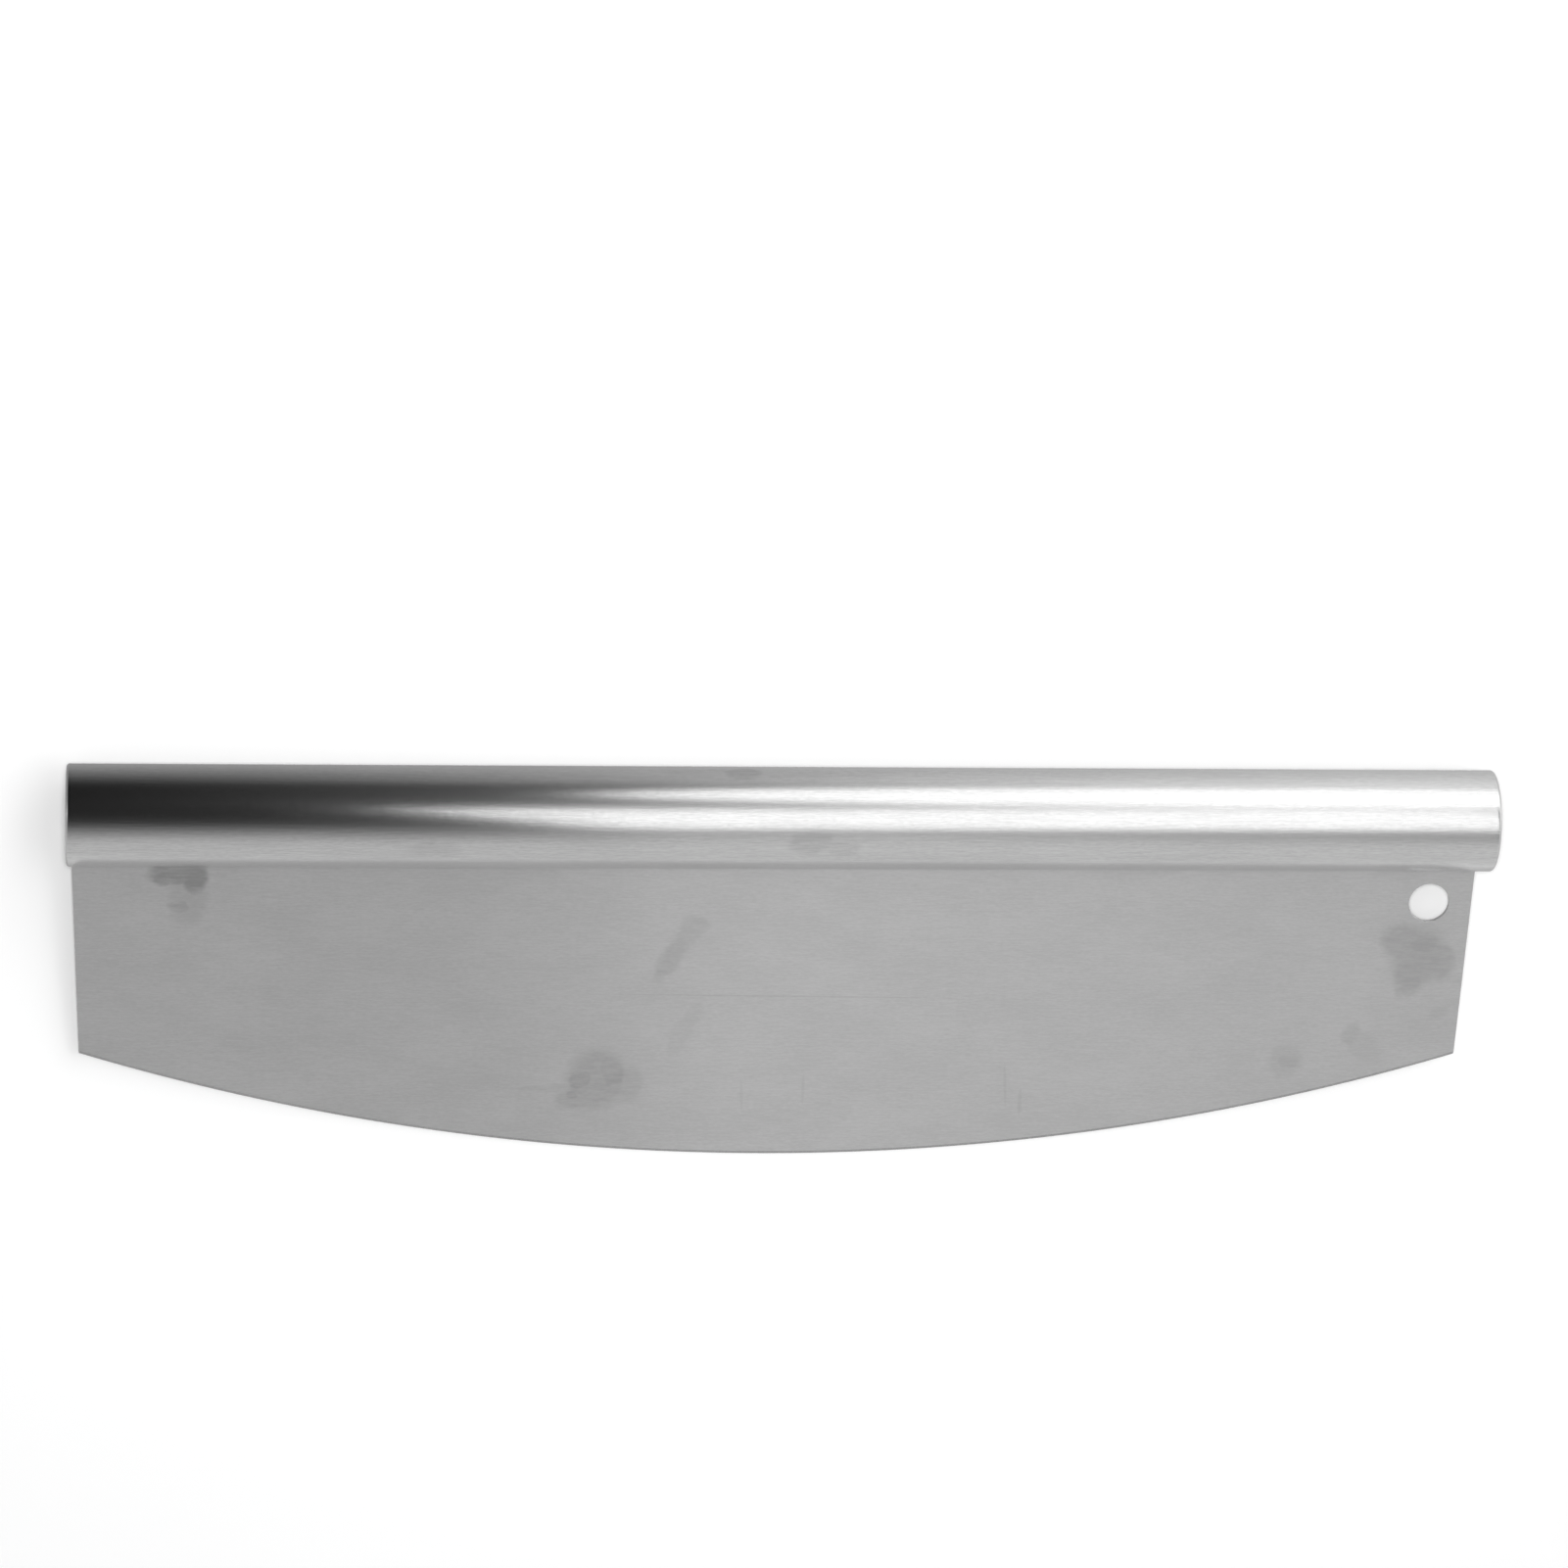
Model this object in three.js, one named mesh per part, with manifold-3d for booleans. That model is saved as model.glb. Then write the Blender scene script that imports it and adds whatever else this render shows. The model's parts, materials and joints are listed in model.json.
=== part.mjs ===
// Rocking pizza cutter: a steel tube handle with capped ends, and a wide curved blade welded into a slot in
// the tube.
//
// Millimetres, +Z up. The cutter lies on a table as it would be put down: the tube and the middle of the
// cutting edge touch z = 0, and the origin is under the middle of its outline. Each piece is drawn flat, with
// the tube's axis along X, the blade in the XY plane and the cutting edge towards -Y. The whole tool is then
// tipped about X until it lies.

import * as THREE from "three";
import { mergeVertices } from "three/addons/utils/BufferGeometryUtils.js";
import Module from "manifold-3d";

// Handle tube
const HANDLE_LENGTH = 355.6; // over the end caps
const TUBE_DIAMETER = 25.4;
const TUBE_WALL = 1.0;

// End caps: pressed cups, with a flange that closes the tube's end and a skirt that sits in its bore
const CAP_FLANGE = 1.2;
const CAP_EDGE_RADIUS = 0.7;
const CAP_SKIRT_LENGTH = 5.0;
const CAP_SKIRT_WALL = 0.9;

// Blade: heights run down from the tube's underside
const BLADE_THICKNESS = 1.2;
const BLADE_INSET_LEFT = 1.1; // the blade's top corners, in from the ends of the handle
const BLADE_INSET_RIGHT = 3.3;
const BLADE_SIDE_TAPER = 1.5; // how far each side leans in by the time it meets the cutting edge
const BLADE_SIDE_HEIGHT = 51.2; // down to that corner
const BLADE_BELLY = 27.8; // how far the cutting edge drops from the corners to its middle

// Cutting edge, ground from both faces
const EDGE_BEVEL = 0.8; // how far the grind reaches in from the edge
const EDGE_FLAT = 0.2; // what is left at the edge itself

// Hanging hole
const HOLE_DIAMETER = 10.2;
const HOLE_DROP = 9.4; // the hole's centre below the tube's underside
const HOLE_INSET = 11.1; // and in from the blade's top corner

// Tang: the blade's upper strip, which goes through the slot into the tube
const TANG_SHOULDER = 25.6; // from the blade's top corners in to the tang
const TANG_DEPTH = 6.5; // from the tube's underside to the tang's top, inside the tube

// Weld beads, one along each face of the blade in the corner under the tube
const WELD_LEG_ON_TUBE = 1.3;
const WELD_LEG_ON_BLADE = 0.7;
const WELD_OVERRUN = 3.0; // past each end of the slot
const WELD_HOLLOW = 0.3; // how far the bead's face is drawn in towards its root, as a share of its legs

// Fits
const FIT_GAP = 0.1; // between pieces that seat on each other
const SLOT_GAP = 0.15; // between the tang and the slot, all round

// Facets
const TUBE_SEGMENTS = 96;
const EDGE_CIRCLE_SEGMENTS = 720; // on the full circle that the cutting edge is part of
const HOLE_SEGMENTS = 48;
const FILLET_SEGMENTS = 5;
const CUT_MARGIN = 1.0; // how far a cutting shape reaches past what it cuts

// Sizes that follow
const TUBE_RADIUS = TUBE_DIAMETER / 2;
const BORE_RADIUS = TUBE_RADIUS - TUBE_WALL;
const TUBE_LENGTH = HANDLE_LENGTH - 2 * (CAP_FLANGE + FIT_GAP);
const BLADE_TOP_WIDTH = HANDLE_LENGTH - BLADE_INSET_LEFT - BLADE_INSET_RIGHT;
const BLADE_CORNER_WIDTH = BLADE_TOP_WIDTH - 2 * BLADE_SIDE_TAPER;
const BLADE_OFFSET = (BLADE_INSET_LEFT - BLADE_INSET_RIGHT) / 2; // its middle, from the tube's middle
const TANG_LENGTH = BLADE_TOP_WIDTH - 2 * TANG_SHOULDER;
const CORNER_Y = -(TUBE_RADIUS + BLADE_SIDE_HEIGHT);
const EDGE_Y = CORNER_Y - BLADE_BELLY;
const EDGE_RADIUS = ((BLADE_CORNER_WIDTH / 2) ** 2 + BLADE_BELLY ** 2) / (2 * BLADE_BELLY);
const SLOT_LENGTH = TANG_LENGTH + 2 * SLOT_GAP;
const SLOT_WIDTH = BLADE_THICKNESS + 2 * SLOT_GAP;

const brushedTube = new THREE.MeshStandardMaterial({ color: 0xb9b9b8, roughness: 0.3, metalness: 1 });
const brushedBlade = new THREE.MeshStandardMaterial({ color: 0xaaaaa9, roughness: 0.38, metalness: 1 });
const capSteel = new THREE.MeshStandardMaterial({ color: 0xb4b4b3, roughness: 0.34, metalness: 1 });
const weldSteel = new THREE.MeshStandardMaterial({ color: 0x9d9c9a, roughness: 0.45, metalness: 1 });

const wasm = await Module();
wasm.setup();

// A closed geometry as a solid for joining and cutting, with collapsed triangles left out.
function solidFrom(geometry) {
  const bare = new THREE.BufferGeometry();
  bare.setAttribute("position", geometry.getAttribute("position"));
  bare.setIndex(geometry.index);
  const merged = mergeVertices(bare);
  const corners = merged.index.array;
  const kept = [];
  for (let i = 0; i < corners.length; i += 3) {
    const [a, b, c] = corners.subarray(i, i + 3);
    if (a !== b && b !== c && c !== a) kept.push(a, b, c);
  }
  return new wasm.Manifold(
    new wasm.Mesh({
      numProp: 3,
      vertProperties: merged.getAttribute("position").array,
      triVerts: new Uint32Array(kept),
    }),
  );
}

function geometryFrom(solid) {
  const mesh = solid.getMesh();
  const geometry = new THREE.BufferGeometry();
  geometry.setAttribute("position", new THREE.BufferAttribute(mesh.vertProperties, 3));
  geometry.setIndex(new THREE.BufferAttribute(mesh.triVerts, 1));
  geometry.computeVertexNormals();
  return geometry;
}

function piece(name, solid, material) {
  const mesh = new THREE.Mesh(geometryFrom(solid), material);
  mesh.name = name;
  return mesh;
}

// A profile of [distance along X, radius] points, turned about the X axis.
function turned(profile) {
  const points = profile.map(([along, radius]) => new THREE.Vector2(radius, along));
  return solidFrom(new THREE.LatheGeometry(points, TUBE_SEGMENTS).rotateZ(-Math.PI / 2));
}

function box(sizeX, sizeY, sizeZ, x, y, z) {
  return solidFrom(new THREE.BoxGeometry(sizeX, sizeY, sizeZ).translate(x, y, z));
}

// The tube, with the slot for the blade's tang along its underside.
function handleTube() {
  const end = TUBE_LENGTH / 2;
  const tube = turned([
    [-end, BORE_RADIUS],
    [-end, TUBE_RADIUS],
    [end, TUBE_RADIUS],
    [end, BORE_RADIUS],
    [-end, BORE_RADIUS],
  ]);
  const cutDepth = TUBE_WALL + 2 * CUT_MARGIN;
  const cutMiddle = -(TUBE_RADIUS + BORE_RADIUS) / 2;
  const slot = box(SLOT_LENGTH, cutDepth, SLOT_WIDTH, BLADE_OFFSET, cutMiddle, 0);
  return piece("handle_tube", tube.subtract(slot), brushedTube);
}

// The cap at the +X end: a rounded flange on the end of the tube and a skirt in its bore.
function endCap(name) {
  const face = HANDLE_LENGTH / 2;
  const seat = face - CAP_FLANGE;
  const skirtOuter = BORE_RADIUS - FIT_GAP;
  const skirtInner = skirtOuter - CAP_SKIRT_WALL;
  const fillet = [];
  for (let i = 0; i <= FILLET_SEGMENTS; i++) {
    const turn = (Math.PI / 2) * (1 - i / FILLET_SEGMENTS);
    fillet.push([
      face - CAP_EDGE_RADIUS + CAP_EDGE_RADIUS * Math.cos(turn),
      TUBE_RADIUS - CAP_EDGE_RADIUS + CAP_EDGE_RADIUS * Math.sin(turn),
    ]);
  }
  const cap = turned([
    [seat, 0],
    [seat, skirtInner],
    [seat - CAP_SKIRT_LENGTH, skirtInner],
    [seat - CAP_SKIRT_LENGTH, skirtOuter],
    [seat, skirtOuter],
    [seat, TUBE_RADIUS],
    ...fillet,
    [face, 0],
  ]);
  return piece(name, cap, capSteel);
}

// Half the blade's width at a height, along the straight line of its side.
function bladeHalfWidth(y) {
  const share = (y + TUBE_RADIUS) / (CORNER_Y + TUBE_RADIUS);
  return THREE.MathUtils.lerp(BLADE_TOP_WIDTH, BLADE_CORNER_WIDTH, share) / 2;
}

// The blade's sheet before its edge is cut: tang, shoulders and sides, with the hanging hole.
function bladeSheet() {
  const tangTop = TANG_DEPTH - TUBE_RADIUS;
  const shoulder = -(TUBE_RADIUS + FIT_GAP);
  const below = EDGE_Y - CUT_MARGIN;
  const outline = new THREE.Shape();
  outline.moveTo(-TANG_LENGTH / 2, tangTop);
  outline.lineTo(-TANG_LENGTH / 2, shoulder);
  outline.lineTo(-bladeHalfWidth(shoulder), shoulder);
  outline.lineTo(-bladeHalfWidth(below), below);
  outline.lineTo(bladeHalfWidth(below), below);
  outline.lineTo(bladeHalfWidth(shoulder), shoulder);
  outline.lineTo(TANG_LENGTH / 2, shoulder);
  outline.lineTo(TANG_LENGTH / 2, tangTop);
  const hole = new THREE.Path();
  const holeX = BLADE_TOP_WIDTH / 2 - HOLE_INSET;
  const holeY = -(TUBE_RADIUS + HOLE_DROP);
  hole.absarc(holeX, holeY, HOLE_DIAMETER / 2, 0, 2 * Math.PI, true);
  outline.holes.push(hole);
  const sheet = new THREE.ExtrudeGeometry(outline, {
    depth: BLADE_THICKNESS,
    bevelEnabled: false,
    curveSegments: HOLE_SEGMENTS,
  });
  return solidFrom(sheet.translate(0, 0, -BLADE_THICKNESS / 2));
}

// The round that the cutting edge is part of, as a disc whose rim is ground from both faces.
function edgeDisc() {
  const halfFlat = EDGE_FLAT / 2;
  const grindPerHeight = EDGE_BEVEL / (BLADE_THICKNESS / 2 - halfFlat);
  const halfDisc = BLADE_THICKNESS / 2 + CUT_MARGIN;
  const discRadius = EDGE_RADIUS - grindPerHeight * (halfDisc - halfFlat);
  const profile = [
    [0, -halfDisc],
    [discRadius, -halfDisc],
    [EDGE_RADIUS, -halfFlat],
    [EDGE_RADIUS, halfFlat],
    [discRadius, halfDisc],
    [0, halfDisc],
  ].map(([radius, height]) => new THREE.Vector2(radius, height));
  const disc = new THREE.LatheGeometry(profile, EDGE_CIRCLE_SEGMENTS).rotateX(Math.PI / 2);
  return solidFrom(disc.translate(0, EDGE_Y + EDGE_RADIUS, 0));
}

function blade() {
  const mesh = piece("blade", bladeSheet().intersect(edgeDisc()), brushedBlade);
  mesh.position.x = BLADE_OFFSET;
  return mesh;
}

// A weld bead in the corner between the tube's underside and one face of the blade; side is 1 or -1.
function weldBead(name, side) {
  const root = BLADE_THICKNESS / 2 + FIT_GAP;
  const toe = root + WELD_LEG_ON_TUBE;
  const seatRadius = TUBE_RADIUS + FIT_GAP;
  const seat = (out) => -Math.sqrt(seatRadius ** 2 - out ** 2);
  const foot = seat(root) - WELD_LEG_ON_BLADE;
  const profile = new THREE.Shape();
  profile.moveTo(-side * root, seat(root));
  profile.lineTo(-side * toe, seat(toe));
  profile.quadraticCurveTo(
    -side * THREE.MathUtils.lerp(root, toe, WELD_HOLLOW),
    THREE.MathUtils.lerp(seat(root), foot, WELD_HOLLOW),
    -side * root,
    foot,
  );
  const length = SLOT_LENGTH + 2 * WELD_OVERRUN;
  const bead = new THREE.ExtrudeGeometry(profile, {
    depth: length,
    bevelEnabled: false,
    curveSegments: FILLET_SEGMENTS,
  });
  bead.translate(0, 0, -length / 2).rotateY(Math.PI / 2);
  const mesh = piece(name, solidFrom(bead), weldSteel);
  mesh.position.x = BLADE_OFFSET;
  return mesh;
}

const tool = new THREE.Group();
tool.add(handleTube(), endCap("right_end_cap"), blade());
tool.add(weldBead("front_weld_bead", 1), weldBead("back_weld_bead", -1));
const leftEnd = new THREE.Group();
leftEnd.rotation.z = Math.PI;
leftEnd.add(endCap("left_end_cap"));
tool.add(leftEnd);

// Tipped until the blade's underside is as low as the tube, at the edge itself or where its grind starts.
const lowest = [
  [EDGE_Y, EDGE_FLAT / 2],
  [EDGE_Y + EDGE_BEVEL, BLADE_THICKNESS / 2],
];
const tipAngle = ([y, half]) => Math.asin(TUBE_RADIUS / Math.hypot(y, half)) - Math.atan2(half, -y);
const lieAngle = Math.min(...lowest.map(tipAngle));
const edgeFront = EDGE_Y * Math.cos(lieAngle) - (EDGE_FLAT / 2) * Math.sin(lieAngle);
tool.rotation.x = lieAngle;
tool.position.set(0, -(TUBE_RADIUS + edgeFront) / 2, TUBE_RADIUS);

const part = new THREE.Group();
part.name = "pizza_cutter";
part.add(tool);

export default part;
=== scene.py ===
"""Rocking pizza cutter in brushed steel, lying on a pale table under soft light.

Places on the cutter are in millimetres in its flat frame: the tube's axis along X, the blade in the XY
plane with the cutting edge towards -Y, and +Z out of the face that shows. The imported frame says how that
lies on the table.
"""

import json
import math

import bmesh
import bpy
from mathutils import Matrix, Vector
from mathutils.geometry import tessellate_polygon


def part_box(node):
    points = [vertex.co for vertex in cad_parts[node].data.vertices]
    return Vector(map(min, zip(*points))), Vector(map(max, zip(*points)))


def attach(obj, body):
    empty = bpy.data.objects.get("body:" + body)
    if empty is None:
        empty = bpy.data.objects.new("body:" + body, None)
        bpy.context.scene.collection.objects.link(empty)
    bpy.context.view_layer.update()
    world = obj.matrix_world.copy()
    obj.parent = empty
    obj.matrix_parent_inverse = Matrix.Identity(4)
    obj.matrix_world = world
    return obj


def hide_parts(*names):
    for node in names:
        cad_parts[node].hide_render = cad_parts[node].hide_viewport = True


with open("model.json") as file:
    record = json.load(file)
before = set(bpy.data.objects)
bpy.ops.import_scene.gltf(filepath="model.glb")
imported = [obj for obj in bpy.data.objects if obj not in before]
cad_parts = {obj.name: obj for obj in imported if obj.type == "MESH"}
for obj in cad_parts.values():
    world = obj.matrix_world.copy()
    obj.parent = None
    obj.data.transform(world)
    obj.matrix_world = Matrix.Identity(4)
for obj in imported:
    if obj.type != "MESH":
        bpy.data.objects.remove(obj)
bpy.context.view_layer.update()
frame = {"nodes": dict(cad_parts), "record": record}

MM = 0.001  # metres

# Camera, about the cutter's flat frame: angles in degrees, lengths in millimetres
CAMERA_AZIMUTH = -5.661  # to the left of square on
CAMERA_ELEVATION = 21.403  # above square on, towards the tube
CAMERA_ROLL = 2.338
CAMERA_DISTANCE = 1465.8
CAMERA_TARGET = (-1.13, 9.08, 0.0)
CAMERA_LENS = 135.76
CAMERA_SENSOR = 36.0

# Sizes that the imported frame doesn't give, in millimetres
TUBE_WALL = 1.0
SLOT_GAP = 0.15
CAP_FLANGE = 1.2
CAP_EDGE_RADIUS = 0.7
CAP_SKIRT_LENGTH = 5.0
CAP_SKIRT_WALL = 0.9
CAP_SEAM = 0.01  # hairline where a cap meets the tube
FIT_GAP = 0.1
BLADE_SIDE_HEIGHT = 51.2
BLADE_SIDE_TAPER = 1.5
BLADE_CORNER_RADIUS = 0.25
TANG_SHOULDER = 25.6
EDGE_BEVEL = 0.8
EDGE_FLAT = 0.2
EDGE_BREAK = 0.1  # the small chamfer left by deburring
HOLE_DIAMETER = 10.2
HOLE_DROP = 9.4
HOLE_INSET = 11.1
WELD_LEG_ON_TUBE = 1.3
WELD_LEG_ON_BLADE = 0.7
WELD_SINK = 0.04  # how far the bead's back goes into the tube and the blade
WELD_END = 1.6  # length over which each end of a bead tapers
WELD_TIP = 0.05  # how far past a bead's end its taper would close
WELD_RIPPLE_PITCH = 1.15

# Form of the beads, as powers and shares
WELD_HOLLOW = 1.35  # power of the section's curve: 1 is flat, more is hollow
WELD_RIPPLE_DEPTH = 0.09  # share of the section that the grooves between ripples take away
WELD_RIPPLE_RIM = 0.4  # share of that depth at toe and foot, and on top of it in the middle
WELD_RIPPLE_CREST = 0.6  # power of the ripples' wave: under 1, crests are broad and grooves narrow
WELD_RIPPLE_SWEEP = 0.45  # how far a ripple's middle runs ahead along the seam, in pitches

# Steps of the meshes
TUBE_COLUMNS = 180
CAP_COLUMNS = 144
CAP_FACE_RINGS = (0.98, 0.5)  # shares of the flat face's radius
ARC_STEPS = 180
HOLE_STEPS = 96
FILLET_STEPS = 10
CORNER_STEPS = 5
WELD_FACE_STEPS = 7
WELD_STEP = 0.19  # millimetres along the seam
SHARP_ANGLE = math.radians(24)  # edges that turn more than this aren't smoothed

# How the cutter lies, from the frame
mounts = {mount["name"]: mount for mount in frame["record"]["mounts"]}
face_axis = Vector(mounts["front_blade_face"]["axis"])
LIE_ANGLE = math.atan2(-face_axis.y, face_axis.z)
tube_low, tube_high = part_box("handle_tube")
TUBE_MIDDLE = (tube_low + tube_high) / 2
TOOL = Matrix.Translation(TUBE_MIDDLE) @ Matrix.Rotation(LIE_ANGLE, 4, "X")


def flat_box(node):
    """A node's lowest and highest corners in the flat frame, in millimetres."""
    back = TOOL.inverted()
    places = [back @ vertex.co / MM for vertex in frame["nodes"][node].data.vertices]
    low = Vector(map(min, zip(*places)))
    high = Vector(map(max, zip(*places)))
    return low, high


tube_box = flat_box("handle_tube")
blade_box = flat_box("blade")
bead_box = flat_box("front_weld_bead")
TUBE_RADIUS = tube_box[1].z
HANDLE_END = flat_box("right_end_cap")[1].x
CAP_SEAT = HANDLE_END - CAP_FLANGE
BORE_RADIUS = TUBE_RADIUS - TUBE_WALL
HALF_SHEET = blade_box[1].z
BLADE_LEFT = blade_box[0].x
BLADE_RIGHT = blade_box[1].x
EDGE_Y = blade_box[0].y
TANG_TOP = blade_box[1].y
TANG_LEFT = BLADE_LEFT + TANG_SHOULDER
TANG_RIGHT = BLADE_RIGHT - TANG_SHOULDER
CORNER_Y = -(TUBE_RADIUS + BLADE_SIDE_HEIGHT)


# Pieces


def piece(name, vertices, faces, node, materials, material_of=None):
    """A mesh in place of a CAD node, from vertices in the flat frame.

    material_of picks each face's material by its number; without it all faces have the first.
    """
    mesh = bpy.data.meshes.new(name)
    mesh.from_pydata([TOOL @ (Vector(v) * MM) for v in vertices], [], faces)
    for material in materials:
        mesh.materials.append(material)
    if material_of:
        mesh.polygons.foreach_set("material_index", [material_of(face) for face in faces])
    shell = bmesh.new()
    shell.from_mesh(mesh)
    bmesh.ops.recalc_face_normals(shell, faces=shell.faces)
    shell.to_mesh(mesh)
    shell.free()
    mesh.polygons.foreach_set("use_smooth", [True] * len(mesh.polygons))
    mesh.set_sharp_from_angle(angle=SHARP_ANGLE)
    mesh.update()
    made = bpy.data.objects.new(name, mesh)
    bpy.context.scene.collection.objects.link(made)
    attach(made, "root")
    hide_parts(node)
    return made


def tube_columns(slot_half):
    """Angles from one edge of the slot to the other, as (outer, inner) pairs; 0 is towards the blade."""
    edges = [math.asin(slot_half / radius) for radius in (TUBE_RADIUS, BORE_RADIUS)]
    columns = []
    for i in range(TUBE_COLUMNS):
        share = i / (TUBE_COLUMNS - 1)
        columns.append([edge + share * (2 * math.pi - 2 * edge) for edge in edges])
    return columns


def make_tube(materials):
    """The tube: rings of outer and inner vertices, joined all round except along the slot."""
    columns = tube_columns(HALF_SHEET + SLOT_GAP)
    end = CAP_SEAT - CAP_SEAM
    rings = [-end, TANG_LEFT - SLOT_GAP, TANG_RIGHT + SLOT_GAP, end]
    slot_ring = 1
    vertices = []
    for x in rings:
        for outer, inner in columns:
            vertices.append((x, -TUBE_RADIUS * math.cos(outer), TUBE_RADIUS * math.sin(outer)))
            vertices.append((x, -BORE_RADIUS * math.cos(inner), BORE_RADIUS * math.sin(inner)))

    def at(ring, column, skin):
        return (ring * TUBE_COLUMNS + column % TUBE_COLUMNS) * 2 + skin

    faces = []
    for ring in range(len(rings) - 1):
        for column in range(TUBE_COLUMNS):
            if column == TUBE_COLUMNS - 1 and ring == slot_ring:
                continue
            for skin in (0, 1):
                faces.append((
                    at(ring, column, skin),
                    at(ring + 1, column, skin),
                    at(ring + 1, column + 1, skin),
                    at(ring, column + 1, skin),
                ))
    for ring in (0, len(rings) - 1):
        for column in range(TUBE_COLUMNS):
            faces.append((
                at(ring, column, 0),
                at(ring, column + 1, 0),
                at(ring, column + 1, 1),
                at(ring, column, 1),
            ))
    last = TUBE_COLUMNS - 1
    for column in (0, last):
        faces.append((
            at(slot_ring, column, 0),
            at(slot_ring + 1, column, 0),
            at(slot_ring + 1, column, 1),
            at(slot_ring, column, 1),
        ))
    for ring in (slot_ring, slot_ring + 1):
        faces.append((at(ring, last, 0), at(ring, 0, 0), at(ring, 0, 1), at(ring, last, 1)))
    return piece("handle_tube_body", vertices, faces, "handle_tube", materials)


def turned(profile, columns):
    """Vertices and faces of (x, radius) points turned about X; the first and the last are on the axis."""
    vertices = [(profile[0][0], 0, 0)]
    for x, radius in profile[1:-1]:
        for i in range(columns):
            angle = 2 * math.pi * i / columns
            vertices.append((x, radius * math.cos(angle), radius * math.sin(angle)))
    vertices.append((profile[-1][0], 0, 0))
    rings = len(profile) - 2
    last = len(vertices) - 1

    def at(ring, i):
        return 1 + ring * columns + i % columns

    faces = []
    for i in range(columns):
        faces.append((0, at(0, i), at(0, i + 1)))
        for ring in range(rings - 1):
            faces.append((at(ring, i), at(ring + 1, i), at(ring + 1, i + 1), at(ring, i + 1)))
        faces.append((at(rings - 1, i), last, at(rings - 1, i + 1)))
    return vertices, faces


def make_cap(name, side, materials):
    """The end cap at +X where side is 1, and at -X where it is -1; its face has the second material."""
    skirt_outer = BORE_RADIUS - FIT_GAP
    skirt_inner = skirt_outer - CAP_SKIRT_WALL
    skirt_end = CAP_SEAT - CAP_SKIRT_LENGTH
    flat = TUBE_RADIUS - CAP_EDGE_RADIUS
    profile = [
        (CAP_SEAT, 0),
        (CAP_SEAT, skirt_inner),
        (skirt_end, skirt_inner),
        (skirt_end, skirt_outer),
        (CAP_SEAT, skirt_outer),
        (CAP_SEAT, TUBE_RADIUS),
    ]
    for i in range(FILLET_STEPS + 1):
        turn = math.pi / 2 * (1 - i / FILLET_STEPS)
        along = HANDLE_END - CAP_EDGE_RADIUS + CAP_EDGE_RADIUS * math.cos(turn)
        profile.append((along, flat + CAP_EDGE_RADIUS * math.sin(turn)))
    profile += [(HANDLE_END, flat * share) for share in CAP_FACE_RINGS]
    profile.append((HANDLE_END, 0))
    vertices, faces = turned([(side * x, radius) for x, radius in profile], CAP_COLUMNS)

    def is_face(face):
        return int(all(abs(vertices[i][0]) == HANDLE_END for i in face))

    return piece(f"{name}_turned", vertices, faces, name, materials, is_face)


def rounded_corner(before, corner, after, radius):
    """Points of an arc of that radius in place of a corner."""
    one = (before - corner).normalized()
    two = (after - corner).normalized()
    half = one.angle(two) / 2
    centre = corner + (one + two).normalized() * radius / math.sin(half)
    start = corner + one * radius / math.tan(half) - centre
    end = corner + two * radius / math.tan(half) - centre
    return [centre + start.slerp(end, i / CORNER_STEPS) * radius for i in range(CORNER_STEPS + 1)]


def blade_outline():
    """The blade's outline as (point, grind, burr), anticlockwise from the tang's right shoulder.

    grind is where grinding moves a point, per millimetre, and burr how far it is deburred, from 0 to 1.
    The grind runs out at the blade's sides.
    """
    middle = (BLADE_LEFT + BLADE_RIGHT) / 2
    half_corner = (BLADE_RIGHT - BLADE_LEFT) / 2 - BLADE_SIDE_TAPER
    belly = CORNER_Y - EDGE_Y
    radius = (half_corner**2 + belly**2) / (2 * belly)
    reach = math.asin(half_corner / radius)
    shoulder = -(TUBE_RADIUS + FIT_GAP)
    unmoved = Vector((0, 0))

    def inward(share):
        turn = reach * (2 * share - 1)
        return Vector((-math.sin(turn), math.cos(turn)))

    def on_edge(share):
        return Vector((middle, EDGE_Y + radius)) - inward(share) * radius

    def up_side(share, top):
        along = top - on_edge(share)
        return along / along.dot(inward(share))

    top_left = Vector((BLADE_LEFT, shoulder))
    top_right = Vector((BLADE_RIGHT, shoulder))
    step = 1 / ARC_STEPS
    left = rounded_corner(top_left, on_edge(0), on_edge(step), BLADE_CORNER_RADIUS)
    right = rounded_corner(on_edge(1 - step), on_edge(1), top_right, BLADE_CORNER_RADIUS)
    outline = [
        (Vector((TANG_RIGHT, shoulder)), unmoved, 1),
        (Vector((TANG_RIGHT, TANG_TOP)), unmoved, 1),
        (Vector((TANG_LEFT, TANG_TOP)), unmoved, 1),
        (Vector((TANG_LEFT, shoulder)), unmoved, 1),
        (top_left, unmoved, 1),
    ]
    outline += [(p, up_side(0, top_left), 1 - i / CORNER_STEPS) for i, p in enumerate(left)]
    outline += [(on_edge(i * step), inward(i * step), 0) for i in range(1, ARC_STEPS)]
    outline += [(p, up_side(1, top_right), i / CORNER_STEPS) for i, p in enumerate(right)]
    outline.append((top_right, unmoved, 1))
    return outline


def drawn_in(points, distances):
    """A closed outline with each point moved inwards by its own distance; points run anticlockwise."""
    moved = []
    for i, point in enumerate(points):
        along_one = (point - points[i - 1]).normalized()
        along_two = (points[(i + 1) % len(points)] - point).normalized()
        inward_one = Vector((-along_one.y, along_one.x))
        inward_two = Vector((-along_two.y, along_two.x))
        inward = (inward_one + inward_two).normalized()
        moved.append(point + inward * distances[i] / inward.dot(inward_one))
    return moved


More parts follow.
